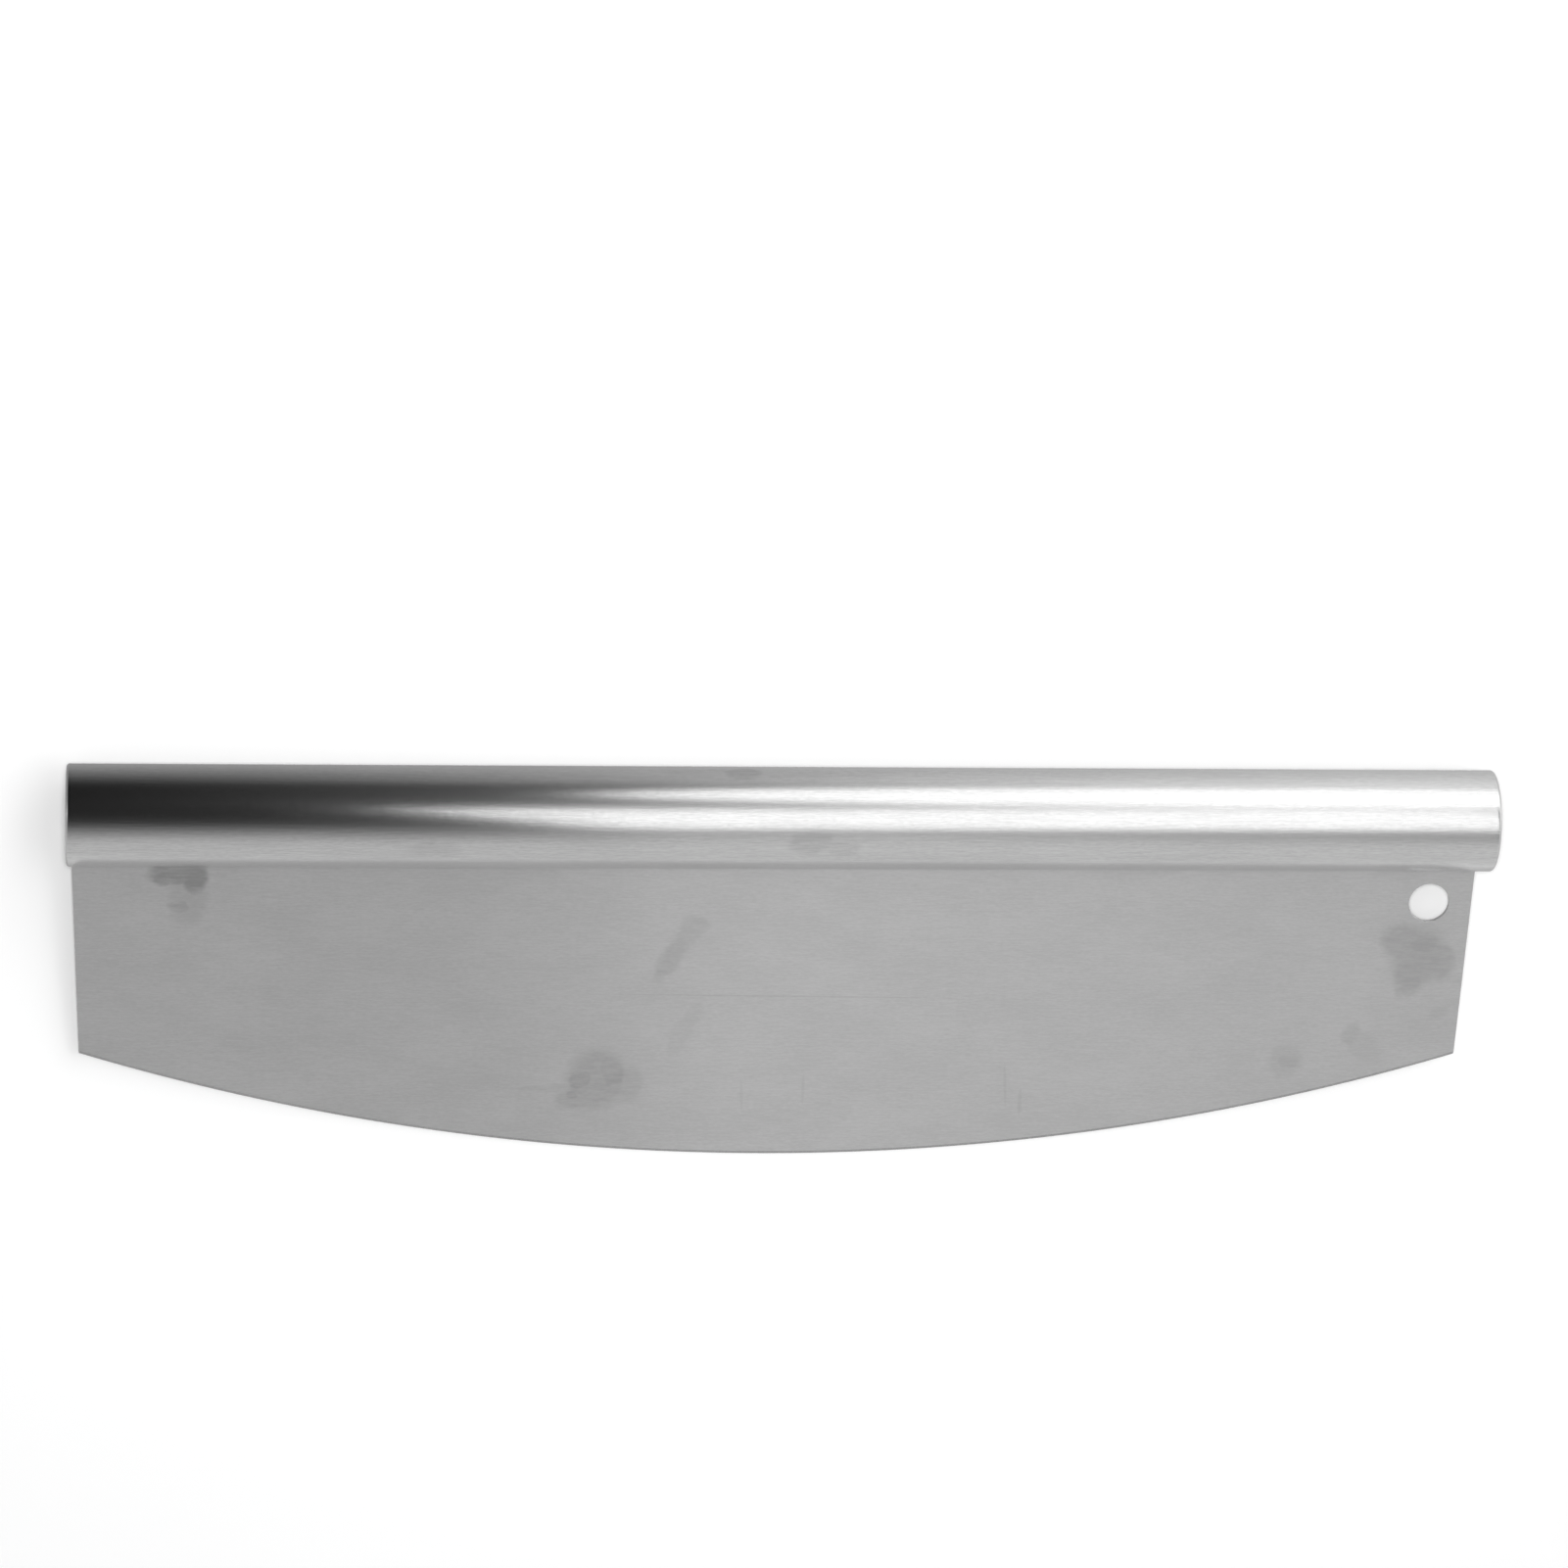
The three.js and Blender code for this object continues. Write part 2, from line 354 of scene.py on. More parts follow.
def make_blade(materials):
    """The sheet with deburred edges, its cutting edge ground from both faces, and the hanging hole."""
    outline = blade_outline()
    points = [point for point, _, _ in outline]
    half_flat = EDGE_FLAT / 2
    upper_levels = [HALF_SHEET, HALF_SHEET - EDGE_BREAK, half_flat]
    levels = upper_levels + [-z for z in reversed(upper_levels)]
    hole_x = BLADE_RIGHT - HOLE_INSET
    hole_y = -(TUBE_RADIUS + HOLE_DROP)
    vertices = []
    for z in levels:
        ground = EDGE_BEVEL * max(0, abs(z) - half_flat) / (HALF_SHEET - half_flat)
        broken = EDGE_BREAK if abs(z) == HALF_SHEET else 0
        deburred = drawn_in(points, [broken * burr for _, _, burr in outline])
        places = [p + grind * ground for p, (_, grind, _) in zip(deburred, outline)]
        vertices += [(p.x, p.y, z) for p in places]
        for i in range(HOLE_STEPS):
            angle = -2 * math.pi * i / HOLE_STEPS
            radius = HOLE_DIAMETER / 2 + broken
            vertices.append((hole_x + radius * math.cos(angle), hole_y + radius * math.sin(angle), z))
    around = len(points)
    level_size = around + HOLE_STEPS
    faces = []
    ground_faces = set()
    for level in range(len(levels) - 1):
        for first, count in ((0, around), (around, HOLE_STEPS)):
            for i in range(count):
                one = level * level_size + first + i
                two = level * level_size + first + (i + 1) % count
                face = (one, two, two + level_size, one + level_size)
                faces.append(face)
                if first == 0 and outline[i][1].length > 0 and outline[(i + 1) % count][1].length > 0:
                    ground_faces.add(face)
    for level in (0, len(levels) - 1):
        start = level * level_size
        loops = [
            [Vector(v) for v in vertices[start : start + around]],
            [Vector(v) for v in vertices[start + around : start + level_size]],
        ]
        faces += [tuple(start + i for i in triangle) for triangle in tessellate_polygon(loops)]
    return piece(
        "blade_sheet",
        vertices,
        faces,
        "blade",
        materials,
        lambda face: int(face in ground_faces),
    )


def make_bead(name, side, materials):
    """A weld bead along one face of the blade, with the ripples that the torch leaves; side is 1 or -1."""
    root = HALF_SHEET - WELD_SINK
    toe = HALF_SHEET + FIT_GAP + WELD_LEG_ON_TUBE
    seat_radius = TUBE_RADIUS - WELD_SINK
    foot_y = -(TUBE_RADIUS + FIT_GAP + WELD_LEG_ON_BLADE)

    def seat(out):
        return -math.sqrt(seat_radius**2 - out**2)

    start, end = bead_box[0].x, bead_box[1].x
    steps = round((end - start) / WELD_STEP)
    loop = WELD_FACE_STEPS + 2
    vertices = []
    for i in range(steps + 1):
        x = start + (end - start) * i / steps
        from_end = min(x - start, end - x)
        taper = math.sqrt(min(1, (from_end + WELD_TIP) / WELD_END))
        vertices.append((x, seat(root), side * root))
        for k in range(WELD_FACE_STEPS + 1):
            share = k / WELD_FACE_STEPS
            bulge = math.sin(math.pi * share)
            phase = x / WELD_RIPPLE_PITCH + WELD_RIPPLE_SWEEP * bulge
            ripple = abs(math.sin(math.pi * phase)) ** WELD_RIPPLE_CREST
            size = taper * (1 - WELD_RIPPLE_DEPTH * (1 - ripple) * (WELD_RIPPLE_RIM + bulge))
            out = root + (toe - root) * (1 - share) ** WELD_HOLLOW * size
            drop = (foot_y - seat(root)) * share**WELD_HOLLOW * size
            y = min(seat(out), seat(root) + drop) if share < 1 else seat(root) + drop
            vertices.append((x, y, side * out))
    faces = []
    for i in range(steps):
        for k in range(loop):
            one = i * loop + k
            two = i * loop + (k + 1) % loop
            faces.append((one, two, two + loop, one + loop))
    faces.append(tuple(range(loop)))
    faces.append(tuple(steps * loop + k for k in range(loop)))
    return piece(f"{name}_rippled", vertices, faces, name, materials)


# Materials

# Marks in millimetres: (x, y, z, half length, half width, turn in degrees, strength)
FRONT = HALF_SHEET
BACK = -HALF_SHEET
BLADE_SMUDGES = [
    # thumbprint under the tube
    (-151.6, -15.0, FRONT, 6.6, 3.6, 0, 0.74),
    (-146.6, -16.4, FRONT, 3.6, 4.7, 0, 0.78),
    (-154.0, -16.2, FRONT, 3.2, 2.8, 0, 0.68),
    (-150.2, -24.3, FRONT, 2.8, 1.6, 0, 0.40),
    (-147.8, -22.5, FRONT, 4.8, 7.4, 0, 0.19),
    # swipe down the middle, and its fainter end
    (-22.2, -28.8, FRONT, 4.2, 2.4, 0, 0.22),
    (-27.8, -37.4, FRONT, 7.8, 2.8, 61, 0.31),
    (-24.2, -32.4, FRONT, 6.0, 3.2, 55, 0.21),
    (-23.7, -56.9, FRONT, 9.0, 2.8, 63, 0.13),
    # blotch near the edge
    (-45.4, -70.8, FRONT, 8.2, 8.4, 0, 0.38),
    (-49.8, -71.0, FRONT, 2.9, 3.0, 0, 0.56),
    (-41.6, -69.2, FRONT, 3.2, 5.6, 15, 0.50),
    (-38.2, -71.9, FRONT, 4.8, 5.2, 0, 0.25),
    (-51.2, -76.2, FRONT, 5.2, 3.2, 0, 0.30),
    (-51.6, -75.0, FRONT, 1.8, 1.5, 0, 0.48),
    (-58.5, -73.3, FRONT, 8.0, 1.1, 0, 0.14),
    # palm mark under the hanging hole
    (162.2, -36.6, FRONT, 7.8, 8.2, 0, 0.43),
    (157.6, -33.0, FRONT, 5.8, 5.4, 0, 0.40),
    (163.0, -33.2, FRONT, 4.6, 3.4, 0, 0.49),
    (167.2, -38.4, FRONT, 4.2, 5.6, 0, 0.38),
    (159.6, -42.4, FRONT, 4.0, 6.0, 0, 0.44),
    # small spots on the right
    (129.8, -65.8, FRONT, 4.6, 5.4, 0, 0.18),
    (130.4, -65.6, FRONT, 2.8, 2.8, 0, 0.30),
    (145.9, -58.1, FRONT, 2.4, 3.6, -30, 0.22),
    (149.6, -61.6, FRONT, 5.4, 4.0, -40, 0.10),
    (168.4, -52.3, FRONT, 3.4, 1.6, 30, 0.13),
    # on the back
    (-92.0, -34.0, BACK, 7.0, 5.0, 35, 0.45),
    (-84.0, -40.0, BACK, 5.0, 6.0, 10, 0.35),
    (70.0, -62.0, BACK, 8.0, 4.0, -25, 0.35),
    (20.0, -24.0, BACK, 3.0, 9.0, 20, 0.2),
]
BLADE_SCRATCHES = [
    # one long and fine along the middle
    (-1.5, -48.0, FRONT, 46.0, 0.22, -0.6, 0.2),
    # short upright ones above the edge
    (-8.8, -75.3, FRONT, 0.4, 4.5, 3, 0.12),
    (6.8, -73.6, FRONT, 0.4, 4.5, 0, 0.12),
    (58.2, -72.5, FRONT, 0.4, 6.5, 4, 0.14),
    (62.2, -77.2, FRONT, 0.5, 4.0, 0, 0.16),
    # on the back
    (-60.0, -52.0, BACK, 60.0, 0.22, 2, 0.2),
]
TUBE_SMUDGES = [
    # on the side that shows
    (-11.2, 12.6, 1.5, 4.6, 2.6, 0, 0.4),
    (5.0, -1.4, 12.6, 6.0, 3.6, 10, 0.32),
    (13.0, -3.0, 12.3, 4.5, 2.6, 0, 0.2),
    (-88.0, -4.1, 12.0, 7.0, 2.4, 0, 0.2),
    # underneath
    (-60.0, 2.0, -12.5, 9.0, 5.0, 0, 0.35),
    (90.0, -8.0, -9.8, 7.0, 5.0, 0, 0.3),
]

# How smudges get their ragged, patchy look, and where every mark fades
RAGGED_WAVES = 260.0  # per metre
RAGGED_DETAIL = 3.0
RAGGED_SHIFT = 3.0  # millimetres from one end of the waves' range to the other
PATCH_SIZE = (5.0, 1.0, 1.0)  # millimetres along X, Y and Z
PATCH_DETAIL = 3.0
PATCH_RANGE = (0.3, 0.65)  # of the noise, between thin and full
PATCH_THIN = 0.6  # what a smudge keeps of its strength between patches
MARK_FULL = 0.64  # as a share of a mark's half size
MARK_GONE = 1.2

# How lines and clouds make up the wear that sets a steel's tone and gloss
LINE_DETAIL = 1.0
CLOUD_DETAIL = 3.0
NOISE_ROUGHNESS = 0.55
WORN_SHARES = (0.4, 0.3, 0.3)  # of hairlines, scores and clouds
WORN_RANGE = (0.3, 0.7)  # of the noise, from darkest and dullest to lightest and glossiest

# Finishes: sizes of lines and clouds along X, Y and Z, their heights and smudge depths are in millimetres
BLADE_LOOK = {
    "metallic": 0.63,
    "tone": 0.55,
    "tone_spread": 0.042,
    "roughness": 0.2,
    "roughness_spread": 0.012,
    "anisotropy": 1.0,
    "hairline": (1.4, 0.32, 0.32),
    "hairline_height": 0.0012,
    "score": (5.0, 0.5, 0.5),
    "score_height": 0.001,
    "cloud": (26.0, 11.0, 11.0),
    "cloud_height": 0.006,
    "smudge_depth": 0.5,
    "smudge_tone": 0.52,
    "smudge_roughness": 0.03,
}
TUBE_LOOK = {
    **BLADE_LOOK,
    "metallic": 1.0,
    "tone": 0.72,
    "tone_spread": 0.05,
    "roughness": 0.203,
    "anisotropy": 0.922,
    "hairline": (1.6, 0.32, 0.32),
    "hairline_height": 0.004,
    "score": (8.0, 0.45, 0.45),
    "score_height": 0.012,
    "cloud": (40.0, 6.0, 6.0),
    "cloud_height": 0.015,
    "smudge_depth": 3.0,
    "smudge_tone": 0.6,
}
CAP_FACE_LOOK = {
    **TUBE_LOOK,
    "tone": 0.70,
    "hairline": (0.25, 9.0, 9.0),
    "score": (0.9, 9.0, 9.0),
    "score_height": 0.006,
}
EDGE_LOOK = {
    **BLADE_LOOK,
    "metallic": 0.9,
    "tone": 0.40,
    "anisotropy": 0.7,
    "hairline": (0.3, 5.0, 5.0),
    "score": (1.2, 9.0, 9.0),
}
WELD_LOOK = {
    **BLADE_LOOK,
    "metallic": 0.72,
    "tone": 0.60,
    "tone_spread": 0.05,
    "roughness": 0.34,
    "anisotropy": 0.0,
    "hairline": (0.5, 0.5, 0.5),
    "score": (3.0, 1.0, 1.0),
}


def add(tree, kind, inputs=None, **settings):
    """A new node of a tree, with its settings and inputs; an input that is a socket is linked."""
    made = tree.nodes.new(kind)
    for key, value in settings.items():
        setattr(made, key, value)
    for key, value in (inputs or {}).items():
        if isinstance(value, bpy.types.NodeSocket):
            tree.links.new(value, made.inputs[key])
        else:
            made.inputs[key].default_value = value
    return made


def calc(tree, operation, one, two):
    """One step of arithmetic with two numbers."""
    return add(tree, "ShaderNodeMath", {0: one, 1: two}, operation=operation).outputs["Value"]


def weighted(tree, *terms):
    """The sum of (value, weight) pairs."""
    total = None
    for value, weight in terms:
        term = calc(tree, "MULTIPLY", value, weight)
        total = term if total is None else calc(tree, "ADD", total, term)
    return total


def vector_calc(tree, operation, one, two):
    """One step of arithmetic with two vectors."""
    return add(tree, "ShaderNodeVectorMath", {0: one, 1: two}, operation=operation).outputs["Vector"]


def constant_vector(tree, vector):
    """A vector that is the same everywhere."""
    return add(tree, "ShaderNodeCombineXYZ", dict(zip("XYZ", vector))).outputs["Vector"]


def remapped(tree, value, low, high, to_low=0.0, to_high=1.0, kind="SMOOTHSTEP"):
    """A value carried from one range to another and held at its ends."""
    made = add(
        tree,
        "ShaderNodeMapRange",
        {"Value": value, "From Min": low, "From Max": high, "To Min": to_low, "To Max": to_high},
        interpolation_type=kind,
    )
    return made.outputs["Result"]


def mixed(tree, share, one, two):
    """A colour between two others; the mix node's sockets 6, 7 and 2 are its colours."""
    return add(tree, "ShaderNodeMix", {0: share, 6: one, 7: two}, data_type="RGBA").outputs[2]


def grey(value):
    """A neutral colour."""
    return (value, value, value, 1.0)


def flat_place(tree):
    """Where a point is in the cutter's flat frame, in metres."""
    place = add(tree, "ShaderNodeTexCoord").outputs["Object"]
    back = add(
        tree,
        "ShaderNodeMapping",
        {"Vector": place, "Location": TUBE_MIDDLE, "Rotation": (LIE_ANGLE, 0, 0)},
        vector_type="TEXTURE",
    )
    return back.outputs["Vector"]


def turned_place(tree):
    """Where a point is as distance from the tube's axis, for a face that was turned on a lathe."""
    across = vector_calc(tree, "MULTIPLY", flat_place(tree), (0, 1, 1))
    radius = add(tree, "ShaderNodeVectorMath", {0: across}, operation="LENGTH").outputs["Value"]
    return add(tree, "ShaderNodeCombineXYZ", {"X": radius}).outputs["Vector"]


def stretched_noise(tree, place, size, detail):
    """Noise whose grains are about size millimetres long in X, Y and Z."""
    scaled = add(tree, "ShaderNodeMapping", {"Vector": place, "Scale": [1 / (s * MM) for s in size]})
    noise = add(
        tree,
        "ShaderNodeTexNoise",
        {
            "Vector": scaled.outputs["Vector"],
            "Scale": 1.0,
            "Detail": detail,
            "Roughness": NOISE_ROUGHNESS,
        },
    )
    return noise.outputs["Fac"]


def bent_place(tree, place):
    """Places shifted this way and that in X and Y, for ragged outlines."""
    waves = add(
        tree,
        "ShaderNodeTexNoise",
        {"Vector": place, "Scale": RAGGED_WAVES, "Detail": RAGGED_DETAIL},
    )
    centred = vector_calc(tree, "SUBTRACT", waves.outputs["Color"], (0.5, 0.5, 0.5))
    shift = vector_calc(tree, "MULTIPLY", centred, (RAGGED_SHIFT * MM, RAGGED_SHIFT * MM, 0))
    return vector_calc(tree, "ADD", place, shift)


def marked(tree, place, marks, depth):
    """How much of a mark lies on each point, from 0 to 1; where marks overlap, the strongest counts."""
    clear = None
    for x, y, z, length, width, turn, strength in marks:
        local = add(
            tree,
            "ShaderNodeMapping",
            {
                "Vector": place,
                "Location": (x * MM, y * MM, z * MM),
                "Rotation": (0, 0, math.radians(turn)),
                "Scale": (length * MM, width * MM, depth * MM),
            },
            vector_type="TEXTURE",
        )
        distance = add(tree, "ShaderNodeVectorMath", {0: local.outputs["Vector"]}, operation="LENGTH")
        outside = remapped(tree, distance.outputs["Value"], MARK_FULL, MARK_GONE, 1 - strength)
        clear = outside if clear is None else calc(tree, "MINIMUM", clear, outside)
    return calc(tree, "SUBTRACT", 1.0, clear)


def dirt(tree, place, smudges, scratches, depth):
    """Patchy smudges and straight scratches together."""
    patches = stretched_noise(tree, place, PATCH_SIZE, PATCH_DETAIL)
    patchy = remapped(tree, patches, *PATCH_RANGE, PATCH_THIN)
    greasy = calc(tree, "MULTIPLY", marked(tree, bent_place(tree, place), smudges, depth), patchy)
    if not scratches:
        return greasy
    return calc(tree, "MAXIMUM", greasy, marked(tree, place, scratches, depth))


def steel(name, look, place_of=flat_place, smudges=(), scratches=(), tangent=None):
    """Steel with fine lines in the places that place_of gives; tangent points across the lines."""
    material = bpy.data.materials.new(name)
    material.use_nodes = True
    tree = material.node_tree
    shader = tree.nodes["Principled BSDF"]
    place = place_of(tree)
    hairline = stretched_noise(tree, place, look["hairline"], LINE_DETAIL)
    score = stretched_noise(tree, place, look["score"], LINE_DETAIL)
    cloud = stretched_noise(tree, place, look["cloud"], CLOUD_DETAIL)

    worn = weighted(tree, *zip((hairline, score, cloud), WORN_SHARES))
    darkest = grey(look["tone"] - look["tone_spread"])
    lightest = grey(look["tone"] + look["tone_spread"])
    colour = mixed(tree, remapped(tree, worn, *WORN_RANGE), darkest, lightest)
    dullest = look["roughness"] + look["roughness_spread"]
    glossiest = look["roughness"] - look["roughness_spread"]
    roughness = remapped(tree, worn, *WORN_RANGE, dullest, glossiest)
    if smudges:
        mark = dirt(tree, place, smudges, scratches, look["smudge_depth"])
        colour = mixed(tree, mark, colour, grey(look["tone"] * look["smudge_tone"]))
        roughness = weighted(tree, (roughness, 1.0), (mark, look["smudge_roughness"]))
    height = weighted(
        tree,
        (hairline, look["hairline_height"]),
        (score, look["score_height"]),
        (cloud, look["cloud_height"]),
    )
    bump = add(tree, "ShaderNodeBump", {"Height": height, "Strength": 1.0, "Distance": MM})

    tree.links.new(colour, shader.inputs["Base Color"])
    tree.links.new(roughness, shader.inputs["Roughness"])
    tree.links.new(bump.outputs["Normal"], shader.inputs["Normal"])
    shader.inputs["Metallic"].default_value = look["metallic"]
    shader.inputs["Anisotropic"].default_value = look["anisotropy"]
    if tangent:
        tree.links.new(tangent(tree), shader.inputs["Tangent"])
    return material


def round_tube(tree):
    """The direction round the tube."""
    return add(tree, "ShaderNodeTangent", direction_type="RADIAL", axis="X").outputs["Tangent"]


def across_blade(tree):
    """The direction on the blade from its edge to the tube."""
    return constant_vector(tree, TOOL.to_3x3() @ Vector((0, 1, 0)))


def along_blade(tree):
    """The direction along the blade."""
    return constant_vector(tree, (1.0, 0.0, 0.0))


# Stage

FLOOR_SIZE = 6.0  # metres
FLOOR_TONE = 0.94
FLOOR_ROUGHNESS = 0.8
FLOOR_SPECULAR = 0.1
BACKDROP_TONE = 1.0
FILL_STRENGTH = 1.7  # watts per square metre at the cutter
FILL_RADIUS = 90.0  # millimetres

# Softboxes that face the tube: angles in degrees, lengths in millimetres, brightness as that of the room
SOFTBOX_DISTANCE = 750.0  # from the tube's axis
SOFTBOXES = {
    "overhead_softbox": {
        "shape": "RECTANGLE",
        "lean": 12,
        "twist": 8,
        "middle_x": 175,
        "length": 428,
        "width": 624,
        "brightness": 1.39,
    },
    "back_softbox": {
        "shape": "ELLIPSE",
        "lean": 66,
        "twist": 3,
        "middle_x": 294,
        "length": 600,
        "width": 660,
        "brightness": 1.38,
    },
}

# Brightness of the room by degrees round the tube, from overhead towards the tube's side of the table:
# past the tube's left end, over its left half, where the light begins in front, over its right half, and
# past its right end
ROOM_FAR_LEFT = [
    (-180, 0.36),
    (-100, 0.68),
    (-46, 0.5),
    (-12, 0.3),
    (8, 0.5),
    (20, 0.85),
    (32, 0.5),
    (48, 0.3),
    (112, 0.3),
    (180, 0.36),
]
ROOM_LEFT = [
    (-180, 0.46),
    (-150, 0.38),
    (-128, 0.52),
    (-112, 0.79),
    (-100, 0.69),
    (-80, 0.58),
    (-62, 0.6),
    (-46, 0.56),
    (-5, 0.012),
    (88, 0.004),
    (112, 0.13),
    (136, 0.29),
    (180, 0.46),
]
ROOM_STEP = [
    (-180, 0.54),
    (-150, 0.46),
    (-128, 0.59),
    (-112, 0.83),
    (-100, 0.73),
    (-84, 0.61),
    (-66, 0.69),
    (-44, 0.66),
    (-30, 0.64),
    (-18, 0.26),
    (-8, 0.05),
    (28, 0.06),
    (180, 0.54),
]
ROOM_RIGHT = [
    (-180, 0.54),
    (-150, 0.46),
    (-128, 0.61),
    (-112, 0.83),
    (-100, 0.73),
    (-84, 0.61),
    (-66, 0.68),
    (-44, 0.6),
    (-30, 0.39),
    (-8, 0.05),
    (28, 0.06),
    (42, 0.43),
    (54, 0.2),
    (64, 0.3),
    (76, 0.24),
    (86, 0.12),
    (102, 0.95),
    (120, 0.77),
    (144, 0.66),
    (164, 0.62),
    (180, 0.54),
]
ROOM_FAR_RIGHT = [
    (-180, 0.62),
    (-62, 0.66),
    (-15, 0.7),
    (8, 1.1),
    (84, 1.1),
    (108, 0.7),
    (180, 0.62),
]
# X of the directions where a change of the room begins and ends: from left to step and from step to right
# in front, from left to right behind, and to the two far ends
TURN_IN_FRONT = (0.063, 0.075)
TURN_PAST_STEP = (0.08, 0.24)
TURN_BEHIND = (-0.03, 0.2)
TURN_FAR_LEFT = (-0.2, -0.5)
TURN_FAR_RIGHT = (0.32, 0.5)
# Y of the directions where what is in front begins to give way to what is behind, and where it has
TURN_TO_BEHIND = (-0.2, 0.6)


def make_floor():
    """A pale table; the steel mirrors the room's lower half in its place."""
    half = FLOOR_SIZE / 2
    corners = [(-half, -half, 0), (half, -half, 0), (half, half, 0), (-half, half, 0)]
    mesh = bpy.data.meshes.new("floor")
    mesh.from_pydata(corners, [], [(0, 1, 2, 3)])
    floor = bpy.data.objects.new("floor", mesh)
    bpy.context.scene.collection.objects.link(floor)
    material = bpy.data.materials.new("pale_floor")
    material.use_nodes = True
    shader = material.node_tree.nodes["Principled BSDF"]
    shader.inputs["Base Color"].default_value = grey(FLOOR_TONE)
    shader.inputs["Roughness"].default_value = FLOOR_ROUGHNESS
    shader.inputs["Specular IOR Level"].default_value = FLOOR_SPECULAR
    mesh.materials.append(material)
    floor.visible_glossy = False


def make_softbox(name, shape, lean, twist, middle_x, length, width, brightness):
    """A light that faces the tube's axis at middle_x and doesn't show to the camera.

    lean is its angle from overhead towards the tube's side, and twist its turn about its own axis.
    """
    light = bpy.data.lights.new(name, "AREA")
    light.shape = shape
    light.size = length * MM
    light.size_y = width * MM
    area = light.size * light.size_y * (math.pi / 4 if shape == "ELLIPSE" else 1)
    light.energy = brightness * math.pi * area
    lamp = bpy.data.objects.new(name, light)
    bpy.context.scene.collection.objects.link(lamp)
    along = Matrix.Translation(TUBE_MIDDLE + Vector((middle_x * MM, 0, 0)))
    leaned = Matrix.Rotation(-math.radians(lean), 4, "X")
    twisted = Matrix.Rotation(math.radians(twist), 4, "Z")
    out = Matrix.Translation((0, 0, SOFTBOX_DISTANCE * MM))
    lamp.matrix_world = along @ leaned @ twisted @ out
    lamp.visible_camera = False


def make_fill(camera):
    """Light from the camera that whitens the floor and leaves the steel's gloss to the softboxes."""
    light = bpy.data.lights.new("floor_fill", "POINT")
    light.energy = FILL_STRENGTH * 4 * math.pi * (CAMERA_DISTANCE * MM) ** 2
    light.shadow_soft_size = FILL_RADIUS * MM
    lamp = bpy.data.objects.new("floor_fill", light)
    bpy.context.scene.collection.objects.link(lamp)
    lamp.matrix_world = camera.matrix_world
    lamp.visible_glossy = False
    lamp.visible_camera = False


def room_ramp(tree, share, stops):
    """Brightness at each angle, from stops of (degrees, brightness)."""
    ramp = add(tree, "ShaderNodeValToRGB", {"Fac": share})
    elements = ramp.color_ramp.elements
    while len(elements) < len(stops):
        elements.new(1.0)
    for element, (degrees, brightness) in zip(elements, stops):
        element.position = (degrees + 180) / 360
        element.color = grey(brightness)
    return ramp.outputs["Color"]


def make_world():
    """A room that is dark over the tube's left half and bright on the right, and white to the camera."""
    world = bpy.data.worlds.new("studio")
    bpy.context.scene.world = world
    world.use_nodes = True
    tree = world.node_tree
    direction = add(tree, "ShaderNodeTexCoord").outputs["Generated"]
    parts = add(tree, "ShaderNodeSeparateXYZ", {"Vector": direction}).outputs
    angle = calc(tree, "ARCTAN2", parts["Y"], parts["Z"])
    share = weighted(tree, (angle, 1 / (2 * math.pi)), (0.5, 1.0))
    rooms = (ROOM_LEFT, ROOM_STEP, ROOM_RIGHT, ROOM_FAR_LEFT, ROOM_FAR_RIGHT)
    left, step, right, far_left, far_right = [room_ramp(tree, share, room) for room in rooms]
    past_step = remapped(tree, parts["X"], *TURN_PAST_STEP, kind="LINEAR")
    lit = mixed(tree, past_step, step, right)
    in_front = mixed(tree, remapped(tree, parts["X"], *TURN_IN_FRONT), left, lit)
    behind = mixed(tree, remapped(tree, parts["X"], *TURN_BEHIND), left, right)
    colour = mixed(tree, remapped(tree, parts["Y"], *TURN_TO_BEHIND), in_front, behind)
    colour = mixed(tree, remapped(tree, parts["X"], *TURN_FAR_LEFT), colour, far_left)
    colour = mixed(tree, remapped(tree, parts["X"], *TURN_FAR_RIGHT), colour, far_right)
    seen = add(tree, "ShaderNodeLightPath").outputs["Is Camera Ray"]
    shown = mixed(tree, seen, colour, grey(BACKDROP_TONE))
    tree.links.new(shown, tree.nodes["Background"].inputs["Color"])


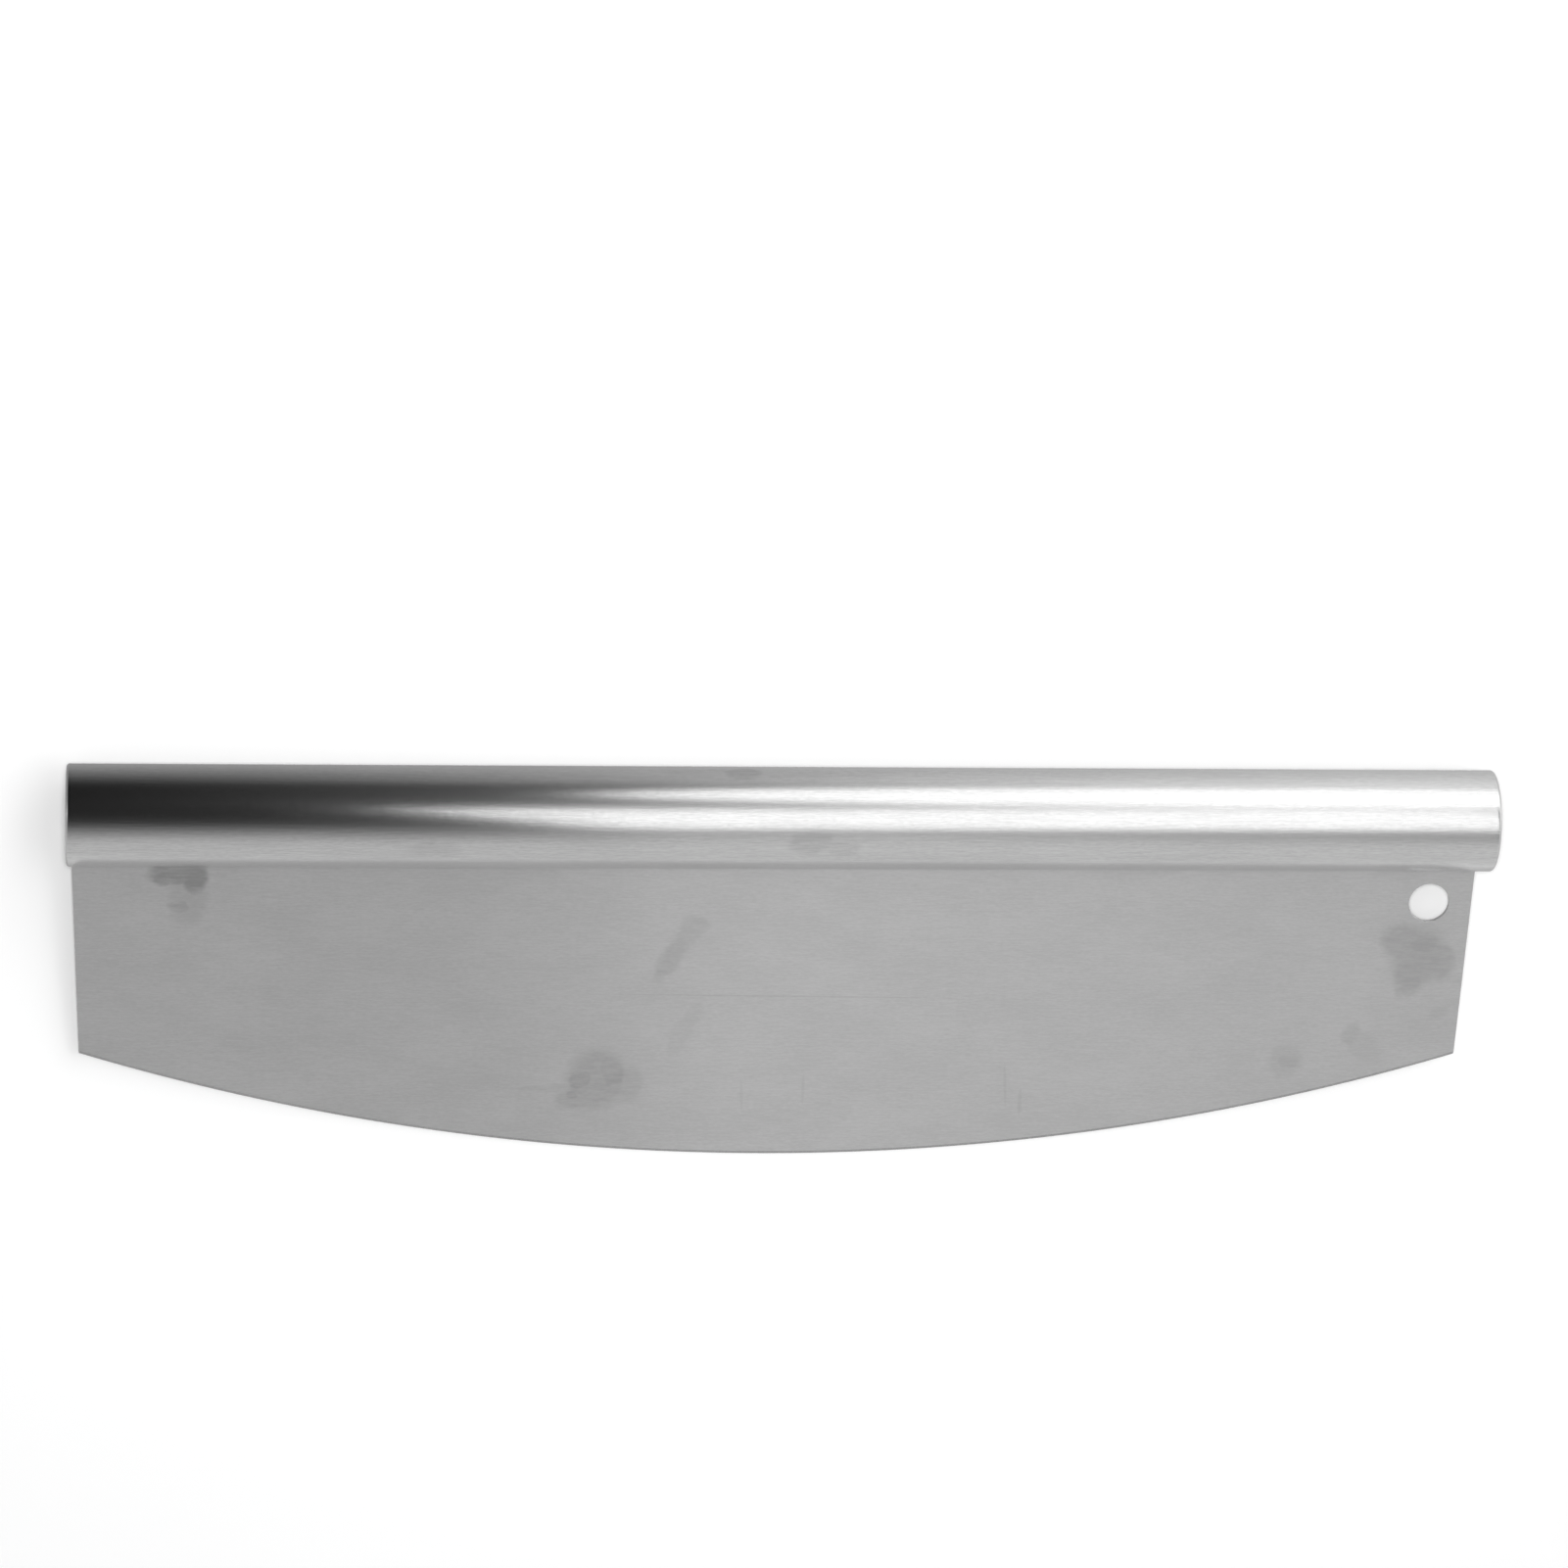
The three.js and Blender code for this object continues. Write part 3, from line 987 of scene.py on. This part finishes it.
def make_camera():
    """The camera, which looks at the blade's face from the tube's side and a little from the left."""
    azimuth = math.radians(CAMERA_AZIMUTH)
    elevation = math.radians(CAMERA_ELEVATION)
    roll = math.radians(CAMERA_ROLL)
    back = Vector((
        math.sin(azimuth) * math.cos(elevation),
        math.sin(elevation),
        math.cos(azimuth) * math.cos(elevation),
    ))
    level_right = (-back).cross(Vector((0, 1, 0))).normalized()
    level_up = level_right.cross(-back)
    right = level_right * math.cos(roll) + level_up * math.sin(roll)
    up = level_up * math.cos(roll) - level_right * math.sin(roll)
    turn = Matrix((right, up, back)).transposed().to_4x4()
    place = (Vector(CAMERA_TARGET) + back * CAMERA_DISTANCE) * MM
    data = bpy.data.cameras.new("camera")
    data.lens = CAMERA_LENS
    data.sensor_width = CAMERA_SENSOR
    camera = bpy.data.objects.new("camera", data)
    bpy.context.scene.collection.objects.link(camera)
    camera.matrix_world = TOOL @ Matrix.Translation(place) @ turn
    bpy.context.scene.camera = camera
    return camera


camera = make_camera()
make_floor()
make_world()
make_fill(camera)
for softbox_name, settings in SOFTBOXES.items():
    make_softbox(softbox_name, **settings)

tube_steel = steel(
    "tube_brushed_steel",
    TUBE_LOOK,
    smudges=TUBE_SMUDGES,
    tangent=round_tube,
)
cap_face_steel = steel("cap_turned_steel", CAP_FACE_LOOK, place_of=turned_place)
blade_steel = steel(
    "blade_brushed_steel",
    BLADE_LOOK,
    smudges=BLADE_SMUDGES,
    scratches=BLADE_SCRATCHES,
    tangent=across_blade,
)
edge_steel = steel("blade_ground_edge", EDGE_LOOK, tangent=along_blade)
weld_steel = steel("weld_bead_steel", WELD_LOOK)

make_tube([tube_steel])
make_cap("left_end_cap", -1, [tube_steel, cap_face_steel])
make_cap("right_end_cap", 1, [tube_steel, cap_face_steel])
make_blade([blade_steel, edge_steel])
make_bead("front_weld_bead", 1, [weld_steel])
make_bead("back_weld_bead", -1, [weld_steel])

view = bpy.context.scene.view_settings
view.view_transform = "Standard"
view.look = "None"
